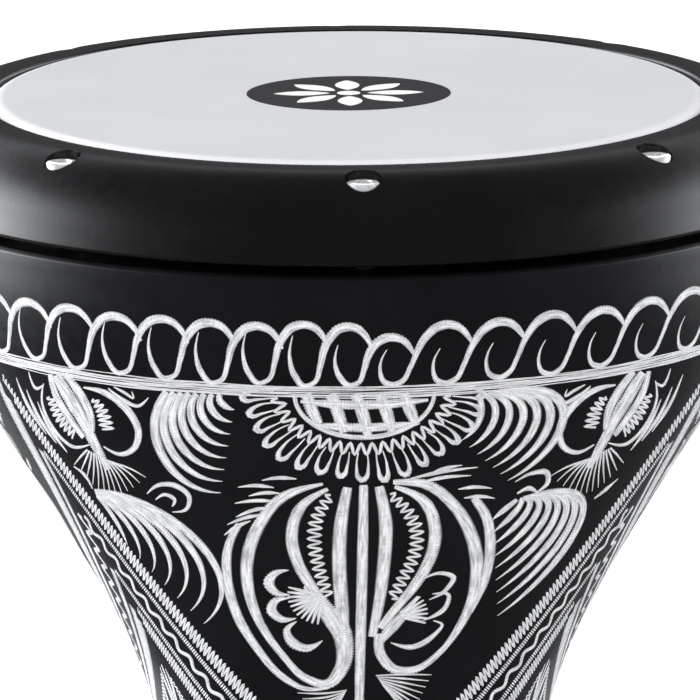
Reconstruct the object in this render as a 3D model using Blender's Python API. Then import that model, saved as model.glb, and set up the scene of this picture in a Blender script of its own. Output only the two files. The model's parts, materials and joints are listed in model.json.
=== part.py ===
"""Goblet drum (darbuka) with a cast aluminium shell and a bolted safety rim.

Metres, +Z up. The origin is the centre of the foot's bottom ring, on the drum's axis, and the
drum's front is -Y. A height ending in _Z is measured up from the foot. An outline is a list of
(radius, height) points that goes round one side of the drum's axis.
"""

import math

import bmesh
import bpy
from mathutils import Vector
from mathutils.geometry import interpolate_bezier

# Overall sizes.
HEAD_TOP_Z = 0.438            # top of the film, 17 1/4 inches
RIM_RADIUS = 0.140            # 11 inches across
FOOT_RADIUS = 0.117
NECK_RADIUS = 0.0585
NECK_Z = 0.213
CLEARANCE = 0.0003            # between pieces that touch

# Shell.
WALL = 0.0034
FLANGE_Z = HEAD_TOP_Z - 0.0287
FLANGE_RADIUS = 0.139
FLANGE_EDGE = 0.0012          # rounding of the flange's outer edge
SHELF_THICKNESS = 0.0125
SHELF_FILLET = 0.0035
COLLAR_INNER = 0.103          # inside of the upright collar that ends in the bearing edge
COLLAR_OUTER = 0.1096
BEARING_ROUND = (0.0040, 0.0032)           # the bearing edge's round, across and down
COLLAR_CHAMFER = 0.0012
BOWL_TURN = (0.0975, HEAD_TOP_Z - 0.120)   # where the bowl's shoulder becomes its cone
CONE_SLOPE = 0.60             # radius lost per height on the cone
BOWL_PULLS = ((-0.0045, -0.037), (CONE_SLOPE * 0.030, 0.030))
NECK_PULLS = ((-CONE_SLOPE * 0.045, -0.045), (0, 0.038))
FOOT_PULLS = ((0, -0.095), (-0.033, 0.024))
FOOT_LIP = 0.006              # width of the flat ring that the drum stands on
FOOT_ROUND = 0.003

# Head.
FILM = 0.0005
FILM_FLAT_RADIUS = 0.106
FILM_RADIUS = 0.111
FILM_DROP = 0.004             # height of the film's rounded shoulder
HOOP_TOP_Z = HEAD_TOP_Z - 0.007
HOOP_HEIGHT = 0.007
HOOP_OUTER = 0.1162
HOOP_BEVEL = 0.0006

# Rim.
RIM_INNER = 0.1115
RIM_TOP_Z = HEAD_TOP_Z - 0.0004
RIM_BOTTOM_Z = HEAD_TOP_Z - 0.0258
RIM_FLAT_RADIUS = 0.1175      # where the flat top gives way to the round shoulder
RIM_SIDE_Z = RIM_BOTTOM_Z + 0.001          # where the shoulder has become upright
RIM_LIP_Z = HOOP_TOP_Z + CLEARANCE
RIM_SKIRT = 0.003             # inner skirt that centres the hoop
RIM_SKIRT_Z = RIM_BOTTOM_Z + 0.004
RIM_WALL = 0.0042
RIM_CROWN = 0.0062            # thickness of the rim's flat top
RIM_EDGE = 0.0010
RIM_INNER_EDGE = 0.0006

# Fastening: eight M6 x 30 socket cap screws.
BOLTS = 8
BOLT_CIRCLE = 0.125
FIRST_BOLT = math.radians(-90)
BOLT_RADIUS = 0.003
BOLT_LENGTH = 0.030
HEAD_RADIUS = 0.005
HEAD_HEIGHT = 0.006
HEAD_BEVEL = 0.0005
TIP_BEVEL = 0.0008
SOCKET_FLATS = 0.005          # hex key size
SOCKET_DEPTH = 0.003
BOLT_HEAD_Z = HEAD_TOP_Z - 0.0030
WASHER_HEIGHT = 0.001
COUNTERBORE_RADIUS = 0.0055
HOLE_RADIUS = BOLT_RADIUS + CLEARANCE
BOSS_RADIUS = 0.0080
BOSS_TOP_Z = RIM_TOP_Z - 0.0073
COUNTERBORE_Z = BOLT_HEAD_Z - HEAD_HEIGHT - WASHER_HEIGHT - 2 * CLEARANCE
CUT_MARGIN = 0.01             # how far a cutter reaches past the solid that it cuts

# Facets.
ROUND_STEPS = 48
BOLT_STEPS = 14
MERGE = 1e-6
SHARP = math.radians(35)

BLACK_PAINT = ((0.012, 0.013, 0.015, 1), 0.32, 0.6)
FILM_WHITE = ((0.72, 0.72, 0.74, 1), 0.45, 0.0)
BARE_ALUMINIUM = ((0.75, 0.76, 0.78, 1), 0.35, 1.0)
CHROME = ((0.83, 0.84, 0.86, 1), 0.08, 1.0)
STEEL = ((0.60, 0.61, 0.63, 1), 0.30, 1.0)


def clear_scene():
    for old in list(bpy.data.objects):
        bpy.data.objects.remove(old, do_unlink=True)


def material(name, look):
    """A Principled material from a (colour, roughness, metallic) look."""
    colour, roughness, metallic = look
    made = bpy.data.materials.new(name)
    made.use_nodes = True
    shader = made.node_tree.nodes["Principled BSDF"]
    shader.inputs["Base Color"].default_value = colour
    shader.inputs["Roughness"].default_value = roughness
    shader.inputs["Metallic"].default_value = metallic
    return made


def bezier(start, start_pull, end_pull, end, points):
    """Points of a cubic curve, each pull being the handle's offset from its end."""
    corners = [Vector((*p, 0)) for p in (start, end)]
    handles = [corners[0] + Vector((*start_pull, 0)), corners[1] + Vector((*end_pull, 0))]
    curve = interpolate_bezier(corners[0], handles[0], handles[1], corners[1], points)
    return [(p.x, p.y) for p in curve]


def arc(centre, radii, first, last, points):
    """Points of an elliptic arc from one angle to another, in degrees."""
    step = (last - first) / (points - 1)
    angles = [math.radians(first + step * i) for i in range(points)]
    return [(centre[0] + radii[0] * math.cos(a), centre[1] + radii[1] * math.sin(a)) for a in angles]


def offset(outline, distance):
    """The outline moved inward, to the right of its direction of travel."""
    moved = []
    for i, (r, z) in enumerate(outline):
        before = Vector(outline[max(i - 1, 0)])
        after = Vector(outline[min(i + 1, len(outline) - 1)])
        along = (after - before).normalized()
        moved.append((r + along.y * distance, z - along.x * distance))
    return moved


def turned_mesh(name, outline, steps):
    """A solid of revolution about Z from a closed outline, which may run along the axis."""
    bm = bmesh.new()
    verts = [bm.verts.new((r, 0, z)) for r, z in outline]
    edges = []
    for a, b in zip(verts, verts[1:] + verts[:1]):
        if a.co.x > 0 or b.co.x > 0:
            edges.append(bm.edges.new((a, b)))
    bmesh.ops.spin(bm, geom=verts + edges, axis=(0, 0, 1), angle=2 * math.pi, steps=steps,
                   use_merge=True)
    bmesh.ops.remove_doubles(bm, verts=bm.verts, dist=MERGE)
    bmesh.ops.recalc_face_normals(bm, faces=bm.faces)
    mesh = bpy.data.meshes.new(name)
    bm.to_mesh(mesh)
    bm.free()
    return mesh


def place(name, mesh, look, parent=None, location=(0, 0, 0)):
    """An object of this mesh, shaded smooth, with its own material."""
    made = bpy.data.objects.new(name, mesh)
    bpy.context.collection.objects.link(made)
    mesh.shade_smooth()
    mesh.set_sharp_from_angle(angle=SHARP)
    made.parent = parent
    made.location = location
    if not mesh.materials:
        mesh.materials.append(None)
    made.material_slots[0].link = "OBJECT"
    made.material_slots[0].material = material(name, look)
    return made


def joint_empty(name, location, parent=None):
    """An empty on a joint's axis, which carries the moving pieces."""
    made = bpy.data.objects.new(name, None)
    bpy.context.collection.objects.link(made)
    made.parent = parent
    made.location = location
    return made


def bolt_place(i):
    """Where bolt number i's axis stands on the bolt circle."""
    angle = FIRST_BOLT + i * 2 * math.pi / BOLTS
    return BOLT_CIRCLE * math.cos(angle), BOLT_CIRCLE * math.sin(angle)


def peg_ring(name, radius, low, high):
    """Eight upright pegs on the bolt circle, used to cut or to add to a ring."""
    bm = bmesh.new()
    for i in range(BOLTS):
        made = bmesh.ops.create_cone(bm, cap_ends=True, segments=BOLT_STEPS, radius1=radius,
                                     radius2=radius, depth=high - low)
        x, y = bolt_place(i)
        bmesh.ops.translate(bm, verts=made["verts"], vec=(x, y, (low + high) / 2))
    mesh = bpy.data.meshes.new(name)
    bm.to_mesh(mesh)
    bm.free()
    guide = bpy.data.objects.new(name, mesh)
    bpy.context.collection.objects.link(guide)
    guide.hide_render = True
    guide.display_type = "WIRE"
    return guide


def combine(target, guide, operation):
    """A Boolean of the target with a guide object."""
    step = target.modifiers.new(guide.name, "BOOLEAN")
    step.operation = operation
    step.object = guide
    return step


def wall_curve():
    """The shell's outer face from under the flange down to the foot."""
    neck = (NECK_RADIUS, NECK_Z)
    bowl = bezier((FLANGE_RADIUS, FLANGE_Z - FLANGE_EDGE), *BOWL_PULLS, BOWL_TURN, 8)
    cone = bezier(BOWL_TURN, *NECK_PULLS, neck, 7)
    foot = bezier(neck, *FOOT_PULLS, (FOOT_RADIUS - FOOT_ROUND / 2, 2 * FOOT_ROUND), 8)
    return bowl + cone[1:] + foot[1:]


def shell_outline():
    """Down the outside of the shell, round the foot and back up the inside."""
    across, down = BEARING_ROUND
    crest_z = HEAD_TOP_Z - FILM - CLEARANCE
    bearing = arc((COLLAR_OUTER - across, crest_z - down), BEARING_ROUND, 90, 0, 5)
    crest = [(COLLAR_INNER + COLLAR_CHAMFER, crest_z)]
    flange = [(COLLAR_OUTER, FLANGE_Z), (FLANGE_RADIUS - FLANGE_EDGE, FLANGE_Z)]
    outside = wall_curve()
    lip = arc((FOOT_RADIUS - FOOT_ROUND, FOOT_ROUND), (FOOT_ROUND, FOOT_ROUND), 0, -90, 4)
    stand = [(lip[-1][0] - FOOT_LIP, 0)]
    shelf_z = FLANGE_Z - SHELF_THICKNESS
    inside = [p for p in offset(outside, WALL) if FOOT_LIP < p[1] < shelf_z - SHELF_FILLET]
    shelf = [(inside[0][0] - SHELF_FILLET, shelf_z), (COLLAR_INNER, shelf_z)]
    throat = [(COLLAR_INNER, crest_z - COLLAR_CHAMFER)]
    return crest + bearing + flange + outside + lip + stand + inside[::-1] + shelf + throat


def make_shell():
    shell = place("shell", turned_mesh("shell", shell_outline(), ROUND_STEPS), BLACK_PAINT)
    holes = peg_ring("shell_bolt_holes", HOLE_RADIUS, FLANGE_Z - SHELF_THICKNESS - CUT_MARGIN,
                     FLANGE_Z + CUT_MARGIN)
    combine(shell, holes, "DIFFERENCE")


def head_outline():
    """The film's section: the flat, the rounded shoulder and the collar, then back underneath."""
    centre = (FILM_FLAT_RADIUS, HEAD_TOP_Z - FILM_DROP)
    over = arc(centre, (FILM_RADIUS - FILM_FLAT_RADIUS, FILM_DROP), 90, 0, 6)
    under = arc(centre, (FILM_RADIUS - FILM_FLAT_RADIUS - FILM, FILM_DROP - FILM), 0, 90, 6)
    end_z = HOOP_TOP_Z - HOOP_HEIGHT
    collar = [(FILM_RADIUS, end_z), (FILM_RADIUS - FILM, end_z)]
    return [(0, HEAD_TOP_Z)] + over + collar + under + [(0, HEAD_TOP_Z - FILM)]


def hoop_outline():
    """The hoop's rectangular section with small bevels."""
    inner = FILM_RADIUS + CLEARANCE
    low = HOOP_TOP_Z - HOOP_HEIGHT
    return [(inner, HOOP_TOP_Z), (HOOP_OUTER - HOOP_BEVEL, HOOP_TOP_Z),
            (HOOP_OUTER, HOOP_TOP_Z - HOOP_BEVEL), (HOOP_OUTER, low + HOOP_BEVEL),
            (HOOP_OUTER - HOOP_BEVEL, low), (inner, low)]


def make_head(carrier):
    place("drum_head", turned_mesh("drum_head", head_outline(), ROUND_STEPS), FILM_WHITE, carrier)
    place("head_hoop", turned_mesh("head_hoop", hoop_outline(), ROUND_STEPS), BARE_ALUMINIUM, carrier)


def rim_outline():
    """The rim's section: lip, flat top, round shoulder, then its hollow underside and skirt."""
    lip = [(RIM_INNER, RIM_LIP_Z), (RIM_INNER, RIM_TOP_Z - RIM_INNER_EDGE),
           (RIM_INNER + RIM_INNER_EDGE, RIM_TOP_Z)]
    centre = (RIM_FLAT_RADIUS, RIM_SIDE_Z)
    shoulder = arc(centre, (RIM_RADIUS - RIM_FLAT_RADIUS, RIM_TOP_Z - RIM_SIDE_Z), 90, 0, 11)
    foot = [(RIM_RADIUS - RIM_EDGE, RIM_BOTTOM_Z), (RIM_RADIUS - RIM_WALL, RIM_BOTTOM_Z)]
    skirt_in = HOOP_OUTER + CLEARANCE
    skirt_out = skirt_in + RIM_SKIRT
    reach = RIM_RADIUS - RIM_WALL - RIM_FLAT_RADIUS
    last = math.degrees(math.acos((skirt_out - RIM_FLAT_RADIUS) / reach))
    hollow = arc(centre, (reach, RIM_TOP_Z - RIM_CROWN - RIM_SIDE_Z), 0, last, 7)
    skirt = [(skirt_out, RIM_SKIRT_Z), (skirt_in, RIM_SKIRT_Z), (skirt_in, RIM_LIP_Z)]
    return lip + shoulder + foot + hollow + skirt


def make_rim(carrier):
    """The rim with a boss round each bolt, then the counterbores and the clearance holes."""
    rim = place("rim", turned_mesh("rim", rim_outline(), ROUND_STEPS), BLACK_PAINT, carrier)
    top = RIM_TOP_Z + CUT_MARGIN
    bosses = peg_ring("rim_bosses", BOSS_RADIUS, RIM_BOTTOM_Z, BOSS_TOP_Z)
    counterbores = peg_ring("rim_counterbores", COUNTERBORE_RADIUS, COUNTERBORE_Z, top)
    holes = peg_ring("rim_bolt_holes", HOLE_RADIUS, RIM_BOTTOM_Z - CUT_MARGIN, top)
    combine(rim, bosses, "UNION")
    combine(rim, counterbores, "DIFFERENCE")
    combine(rim, holes, "DIFFERENCE")


def bolt_outline():
    """A socket cap screw's section, from its tip up to its head. Z = 0 is under the head."""
    return [(0, -BOLT_LENGTH), (BOLT_RADIUS - TIP_BEVEL, -BOLT_LENGTH),
            (BOLT_RADIUS, TIP_BEVEL - BOLT_LENGTH), (BOLT_RADIUS, 0), (HEAD_RADIUS, 0),
            (HEAD_RADIUS, HEAD_HEIGHT - HEAD_BEVEL), (HEAD_RADIUS - HEAD_BEVEL, HEAD_HEIGHT),
            (0, HEAD_HEIGHT)]


def bolt_mesh():
    """One bolt with its hex socket cut, as a mesh that all eight share."""
    plain = bpy.data.objects.new("bolt_plain", turned_mesh("bolt_plain", bolt_outline(), BOLT_STEPS))
    bm = bmesh.new()
    corner = SOCKET_FLATS / math.sqrt(3)
    bmesh.ops.create_cone(bm, cap_ends=True, segments=6, radius1=corner, radius2=corner,
                          depth=2 * SOCKET_DEPTH)
    bmesh.ops.translate(bm, verts=bm.verts, vec=(0, 0, HEAD_HEIGHT))
    key = bpy.data.meshes.new("hex_key")
    bm.to_mesh(key)
    bm.free()
    cutter = bpy.data.objects.new("hex_key", key)
    for made in (plain, cutter):
        bpy.context.collection.objects.link(made)
    combine(plain, cutter, "DIFFERENCE")
    cut = plain.evaluated_get(bpy.context.evaluated_depsgraph_get())
    mesh = bpy.data.meshes.new_from_object(cut)
    for made in (plain, cutter):
        bpy.data.objects.remove(made)
    mesh.name = "tuning_bolt"
    return mesh


def washer_mesh():
    """A flat washer that lies on Z = 0."""
    outline = [(HOLE_RADIUS, 0), (HEAD_RADIUS, 0), (HEAD_RADIUS, WASHER_HEIGHT),
               (HOLE_RADIUS, WASHER_HEIGHT)]
    return turned_mesh("bolt_washer", outline, BOLT_STEPS)


def make_fasteners(rim_carrier):
    """Eight bolts, each on an empty on its own axis, and eight washers in the counterbores."""
    bolt = bolt_mesh()
    washer = washer_mesh()
    for i in range(BOLTS):
        x, y = bolt_place(i)
        axis = joint_empty(f"bolt_{i + 1}_axis", (x, y, BOLT_HEAD_Z - HEAD_HEIGHT), rim_carrier)
        place(f"tuning_bolt_{i + 1}", bolt, CHROME, axis)
        place(f"bolt_washer_{i + 1}", washer, STEEL, rim_carrier, (x, y, COUNTERBORE_Z + CLEARANCE))


def main():
    clear_scene()
    rim_carrier = joint_empty("rim_travel", (0, 0, 0))
    head_carrier = joint_empty("head_travel", (0, 0, 0))
    make_shell()
    make_head(head_carrier)
    make_rim(rim_carrier)
    make_fasteners(rim_carrier)


main()
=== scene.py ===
"""Looks of the darbuka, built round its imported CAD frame.

Metres, +Z up, the drum's front is -Y. The engraving is drawn in millimetres on the shell's unrolled
surface: ARC runs round the shell to the right of a panel's middle line, DROP runs down from the film.
"""

import json
import math
import random

import bmesh
import bpy
import numpy as np
from mathutils import Matrix, Vector

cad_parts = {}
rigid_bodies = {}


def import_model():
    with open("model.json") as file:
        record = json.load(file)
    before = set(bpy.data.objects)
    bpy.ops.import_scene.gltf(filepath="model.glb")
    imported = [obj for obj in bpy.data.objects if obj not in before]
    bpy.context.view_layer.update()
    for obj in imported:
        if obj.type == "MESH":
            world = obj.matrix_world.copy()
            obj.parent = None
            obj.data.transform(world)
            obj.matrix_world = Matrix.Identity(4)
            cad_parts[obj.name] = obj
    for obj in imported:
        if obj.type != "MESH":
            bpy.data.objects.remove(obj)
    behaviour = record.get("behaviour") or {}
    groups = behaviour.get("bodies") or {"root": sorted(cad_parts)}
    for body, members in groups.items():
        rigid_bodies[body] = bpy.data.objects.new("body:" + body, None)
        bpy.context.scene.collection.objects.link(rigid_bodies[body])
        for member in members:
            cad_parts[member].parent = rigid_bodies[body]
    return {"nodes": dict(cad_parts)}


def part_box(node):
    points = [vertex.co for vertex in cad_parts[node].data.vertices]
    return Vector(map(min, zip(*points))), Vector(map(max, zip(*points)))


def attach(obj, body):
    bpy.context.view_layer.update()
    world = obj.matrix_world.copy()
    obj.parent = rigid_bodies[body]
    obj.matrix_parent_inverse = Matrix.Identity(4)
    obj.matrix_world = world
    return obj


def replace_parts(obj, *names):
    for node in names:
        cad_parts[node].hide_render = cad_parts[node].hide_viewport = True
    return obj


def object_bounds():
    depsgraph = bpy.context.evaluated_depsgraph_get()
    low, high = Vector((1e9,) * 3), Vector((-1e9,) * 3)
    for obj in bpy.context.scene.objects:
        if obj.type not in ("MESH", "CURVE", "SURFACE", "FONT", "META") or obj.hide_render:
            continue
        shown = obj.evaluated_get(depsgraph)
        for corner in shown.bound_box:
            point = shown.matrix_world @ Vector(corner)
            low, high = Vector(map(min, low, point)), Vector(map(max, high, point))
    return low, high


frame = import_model()
cad_low, cad_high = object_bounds()

MM = 0.001
HEAD_Z = cad_high.z
BOLTS = 8
PANELS = 3
MERIDIAN = math.radians(-112.5)  # a plane through the axis that misses every bolt
ON_AXIS = 1e-6  # a smaller radius counts as none
CORNER = math.radians(33)  # a section bends smoothly below this turn
SHARP = math.radians(38)  # edges that turn more than this are shaded sharp
LATHE_STEPS = 240
FILM_FLAT, FILM_BEND = 0.106, 0.109  # a painted highlight brightens the film's colour between these radii
STROKE_SIDE_SHADE = ((-1.0, 0.45), (-0.55, 0.95), (0.2, 1.0), (0.7, 0.85), (1.0, 0.5))  # painted shade, darker towards a stroke's sides


# -------- materials

class Graph:
    """A node tree, with short ways to add nodes to it."""

    def __init__(self, tree):
        self.nodes, self.links = tree.nodes, tree.links

    def feed(self, node, inputs):
        """Gives a node's inputs, by name or place, a value or another node's output."""
        for key, value in inputs.items():
            if isinstance(value, bpy.types.NodeSocket):
                self.links.new(value, node.inputs[key])
            else:
                node.inputs[key].default_value = value

    def add(self, kind, inputs=None, operation=None):
        made = self.nodes.new("ShaderNode" + kind)
        if operation:
            made.operation = operation
        self.feed(made, inputs or {})
        return made

    def where(self):
        return self.add("TexCoord").outputs["Object"]

    def stretched(self, vector, scale):
        """A vector, scaled along each axis."""
        return self.add("Mapping", {"Vector": vector, "Scale": scale}).outputs["Vector"]

    def product(self, a, b):
        """Two colours or vectors, multiplied number by number."""
        return self.add("VectorMath", {0: a, 1: b}, "MULTIPLY").outputs["Vector"]

    def noise(self, vector, scale, detail=4.0, roughness=0.55):
        return self.add("TexNoise", {"Vector": vector, "Scale": scale, "Detail": detail,
                                     "Roughness": roughness}).outputs["Fac"]

    def ramp(self, value, stops):
        """A colour ramp from (place, colour or grey) stops."""
        made = self.add("ValToRGB", {"Fac": value})
        elements = made.color_ramp.elements
        while len(elements) < len(stops):
            elements.new(0.5)
        for element, (place, shade) in zip(elements, stops):
            element.position = place
            element.color = (*shade, 1) if isinstance(shade, tuple) else (shade, shade, shade, 1)
        return made.outputs["Color"]

    def shades(self, value, low, high, at=(0.3, 0.7)):
        """A ramp between two colours or greys."""
        return self.ramp(value, ((at[0], low), (at[1], high)))

    def profile(self, value, stops):
        """A ramp over -1 to 1."""
        shift = self.add("MapRange", {"Value": value, "From Min": -1})
        return self.ramp(shift.outputs["Result"], [((place + 1) / 2, grey) for place, grey in stops])

    def dress(self, shader, colour, roughness, height, distance, strength):
        """Gives a shader its colour, its roughness and a bump."""
        bump = self.add("Bump", {"Height": height, "Distance": distance, "Strength": strength})
        self.feed(shader, {"Base Color": colour, "Roughness": roughness, "Normal": bump.outputs["Normal"]})


def principled(name, colour, roughness, metallic=0.0, specular=0.5):
    """A material with one Principled shader. Returns it with its node graph and the shader."""
    made = bpy.data.materials.new(name)
    made.use_nodes = True
    graph = Graph(made.node_tree)
    shader = graph.nodes["Principled BSDF"]
    graph.feed(shader, {"Base Color": (*colour, 1), "Roughness": roughness, "Metallic": metallic,
                        "Specular IOR Level": specular})
    return made, graph, shader


def lacquer(name, low, high, rough, specular):
    """Black paint on cast metal: faint orange peel, and gloss that varies a little."""
    made, graph, shader = principled(name, low, rough[0], specular=specular)
    where = graph.where()
    cloud, fine = graph.noise(where, 35), graph.noise(where, 240, 5)
    peel = graph.noise(where, 900, 3)
    graph.dress(shader, graph.shades(cloud, low, high), graph.shades(fine, *rough), peel, 0.00003, 0.5)
    return made


def film_material():
    """Smooth white polyester with a fine frosted tooth, and a painted highlight that brightens its colour
    where it bends over its edge.
    """
    made, graph, shader = principled("head_film", (0.7, 0.7, 0.715), 0.42)
    where = graph.where()
    tone = graph.shades(graph.noise(where, 22), (0.684, 0.69, 0.706), (0.722, 0.726, 0.742))
    reach = graph.add("VectorMath", {0: graph.product(where, (1, 1, 0))}, "LENGTH")
    # painted highlight: the film's colour is a quarter darker on the flat than where it bends over its edge
    edge = graph.add("MapRange", {"Value": reach.outputs["Value"], "From Min": FILM_FLAT,
                                  "From Max": FILM_BEND, "To Min": 0.75})
    fine = graph.noise(where, 1600, 2)
    tone = graph.product(tone, edge.outputs["Result"])
    graph.dress(shader, tone, graph.shades(fine, 0.38, 0.5), fine, 0.00002, 0.4)
    return made


def engraved_metal():
    """Bright aluminium laid bare by the graver: streaks along each stroke, and painted shade that darkens it
    towards its sides.
    """
    made, graph, shader = principled("engraved_metal", (0.7, 0.7, 0.71), 0.5, 0.15)
    node = graph.add("Attribute")
    node.attribute_name = "stroke"
    stroke = node.outputs["Vector"]
    streaks = graph.noise(graph.stretched(stroke, (2.2, 0.13, 1)), 1.5, 3, 0.6)
    ticks = graph.noise(graph.stretched(stroke, (0.35, 4.0, 1)), 1.3, 2, 0.6)
    tone = graph.shades(streaks, (0.38, 0.385, 0.4), (0.84, 0.84, 0.85), (0.32, 0.6))
    tone = graph.product(tone, graph.shades(ticks, 0.8, 1.0, (0.35, 0.55)))
    # painted shade: the colour darkens towards each stroke's sides
    across = graph.add("SeparateXYZ", {"Vector": stroke}).outputs["X"]
    tone = graph.product(tone, graph.profile(across, STROKE_SIDE_SHADE))
    grain = graph.noise(graph.where(), 2300, 3, 0.7)
    graph.dress(shader, tone, graph.shades(grain, 0.6, 0.42), streaks, 0.00012, 0.5)
    return made


def grained(name, low, high, rough, scale, detail, relief, metallic=0.0):
    """One grain for colour, gloss and relief: plain metal with a fine tooth, or uneven ink."""
    made, graph, shader = principled(name, high, rough[0], metallic)
    grain = graph.noise(graph.where(), scale, detail)
    graph.dress(shader, graph.shades(grain, low, high), graph.shades(grain, *rough), grain, relief, 0.3)
    return made


def turned_metal(name, colour, rough, scale, metallic=1.0):
    return grained(name, tuple(c * 0.8 for c in colour), colour, rough, scale, 4, 0.00004, metallic)


def ink(name, low, high):
    return grained(name, low, high, (0.42, 0.58), 420, 3, 0.00001)


SHELL_BLACK = lacquer("shell_black", (0.0022, 0.0024, 0.003), (0.0042, 0.0045, 0.0055), (0.27, 0.36), 0.4)
RIM_BLACK = lacquer("rim_black", (0.0018, 0.0018, 0.0022), (0.0034, 0.0034, 0.004), (0.24, 0.31), 0.4)
RAW_CASTING = turned_metal("raw_casting", (0.36, 0.365, 0.375), (0.45, 0.65), 700, 0.8)
FILM = film_material()
ENGRAVED = engraved_metal()
CHROME = turned_metal("bolt_chrome", (0.9, 0.91, 0.92), (0.16, 0.3), 1500, 0.5)
# painted shade: the screws' threads are near black, so that shanks seen in the gap under the rim read as the
# gap's shade
PAINTED_SHADE_THREAD = turned_metal("bolt_thread", (0.05, 0.05, 0.055), (0.45, 0.6), 1500, 0.5)
WASHER_STEEL = turned_metal("washer_steel", (0.6, 0.61, 0.63), (0.28, 0.42), 1800)
HOOP_METAL = turned_metal("hoop_aluminium", (0.74, 0.75, 0.77), (0.3, 0.45), 1200)
BLACK_INK = ink("badge_black", (0.006, 0.006, 0.007), (0.013, 0.013, 0.014))
WHITE_INK = ink("badge_white", (0.72, 0.72, 0.73), (0.80, 0.80, 0.80))


# -------- sections and turned pieces

def section(node):
    """A turned CAD node's (radius, height) outline, walked along one meridian of its mesh."""
    mesh = frame["nodes"][node].data
    on_plane = {}
    for v in mesh.vertices:
        r = math.hypot(v.co.x, v.co.y)
        off = math.atan2(v.co.y, v.co.x) - MERIDIAN
        if r < ON_AXIS or abs(math.remainder(off, 2 * math.pi)) < 0.002:
            on_plane[v.index] = (round(r, 6), round(v.co.z, 6))
    links = {}
    for edge in mesh.edges:
        a, b = (on_plane.get(i) for i in edge.vertices)
        if a and b and a != b and max(a[0], b[0]) >= ON_AXIS:
            links.setdefault(a, set()).add(b)
            links.setdefault(b, set()).add(a)
    ends = [p for p, near in links.items() if len(near) == 1]
    ahead = [max(ends or links, key=lambda p: (p[1], p[0]))]
    path = []
    while ahead:
        path.append(max(ahead))
        ahead = [p for p in links[path[-1]] if p not in path]
    return np.array(path)


def outward(outline):
    """The outline, running so that its right-hand side is outside."""
    r, z = outline[:, 0], outline[:, 1]
    area = np.sum(r * np.roll(z, -1) - np.roll(r, -1) * z)
    return outline if area > 0 else outline[::-1]


def turn_at(a, b, c):
    """How far a path through three points turns at the middle one."""
    first, second = b - a, c - b
    cross = first[0] * second[1] - first[1] * second[0]
    return math.atan2(cross, float(first @ second))


def hermite(t, a, b, leave, arrive):
    """The cubic from a to b with these slopes at its ends, at the shares t."""
    return ((2 * t**3 - 3 * t**2 + 1) * a + (t**3 - 2 * t**2 + t) * leave
            + (3 * t**2 - 2 * t**3) * b + (t**3 - t**2) * arrive)


LOPSIDED = 4  # beside a side this many times shorter, a bend follows the longer one


def eased(outline, closed, radius=0.0004, facet=0.0016, support=0.0003):
    """Smooths an outline's gentle bends with more points and rounds its sharp corners."""
    n = len(outline)
    corner, slope = [], []
    for i in range(n):
        a, b, c = outline[i - 1], outline[i], outline[(i + 1) % n]
        is_end = not closed and i in (0, n - 1)
        corner.append(is_end or abs(turn_at(a, b, c)) > CORNER)
        before, after = np.linalg.norm(b - a), np.linalg.norm(c - b)
        mean = ((b - a) / before * after + (c - b) / after * before) / (before + after)
        if max(before, after) > LOPSIDED * min(before, after):
            mean = (b - a) / before if before > after else (c - b) / after
        slope.append(mean)
    made = []
    for i in range(n if closed else n - 1):
        j = (i + 1) % n
        a, b = outline[i], outline[j]
        length = np.linalg.norm(b - a)
        chord = (b - a) / length
        trim = min(radius, length * 0.4)
        rounds_b = corner[j] and (closed or j < n - 1)
        start = a + chord * trim if corner[i] and (closed or i > 0) else a
        end = b - chord * trim if rounds_b else b
        out_a = chord if corner[i] else slope[i]
        out_b = chord if corner[j] else slope[j]
        span = np.linalg.norm(end - start)
        bent = max(abs(out_a @ chord - 1), abs(out_b @ chord - 1)) > 1e-5
        places = np.linspace(0, 1, max(2, math.ceil(span / facet)) + 1)
        if not bent:
            edge = support / span
            places = [0, 1] if edge > 0.25 else [0, edge, 1 - edge, 1]
        skipped = 1 if made and not corner[i] else 0
        made += [hermite(t, start, end, span * out_a, span * out_b) for t in places[skipped:]]
        if rounds_b:
            after = outline[(j + 1) % n] - b
            reach = np.linalg.norm(after)
            leave = b + after / reach * min(radius, reach * 0.4)
            for t in (0.25, 0.5, 0.75):
                made.append((1 - t)**2 * end + 2 * t * (1 - t) * b + t * t * leave)
    return np.array(made)


def new_object(name, data):
    made = bpy.data.objects.new(name, data)
    bpy.context.scene.collection.objects.link(made)
    return made


def soften(mesh):
    mesh.shade_smooth()
    mesh.set_sharp_from_angle(angle=SHARP)


def mesh_object(name, verts, faces, material, smooth=True):
    """A new object, shaded smooth except at sharp edges."""
    mesh = bpy.data.meshes.new(name)
    mesh.from_pydata(verts, [], faces)
    mesh.materials.append(material)
    if smooth:
        soften(mesh)
    return new_object(name, mesh)


def turned(name, outline, closed, material, steps=LATHE_STEPS):
    """A solid of revolution about Z. Points on the axis close it."""
    outline = outward(outline)
    verts, rings = [], []
    angles = [2 * math.pi * k / steps for k in range(steps)]
    for r, z in outline:
        first = len(verts)
        if r < ON_AXIS:
            rings.append([first] * steps)
            verts.append((0, 0, z))
        else:
            rings.append(list(range(first, first + steps)))
            verts += [(r * math.cos(a), r * math.sin(a), z) for a in angles]
    faces = []
    for low, high in zip(rings, rings[1:] + rings[:1] * closed):
        for k in range(steps):
            m = (k + 1) % steps
            face = tuple(dict.fromkeys((low[k], low[m], high[m], high[k])))
            if len(face) > 2:
                faces.append(face)
    return mesh_object(name, verts, faces, material)


def bolt_axis(i):
    """Where bolt number i's axis is, from the CAD bolt."""
    low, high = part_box(f"tuning_bolt_{i}")
    return (low.x + high.x) / 2, (low.y + high.y) / 2


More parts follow.
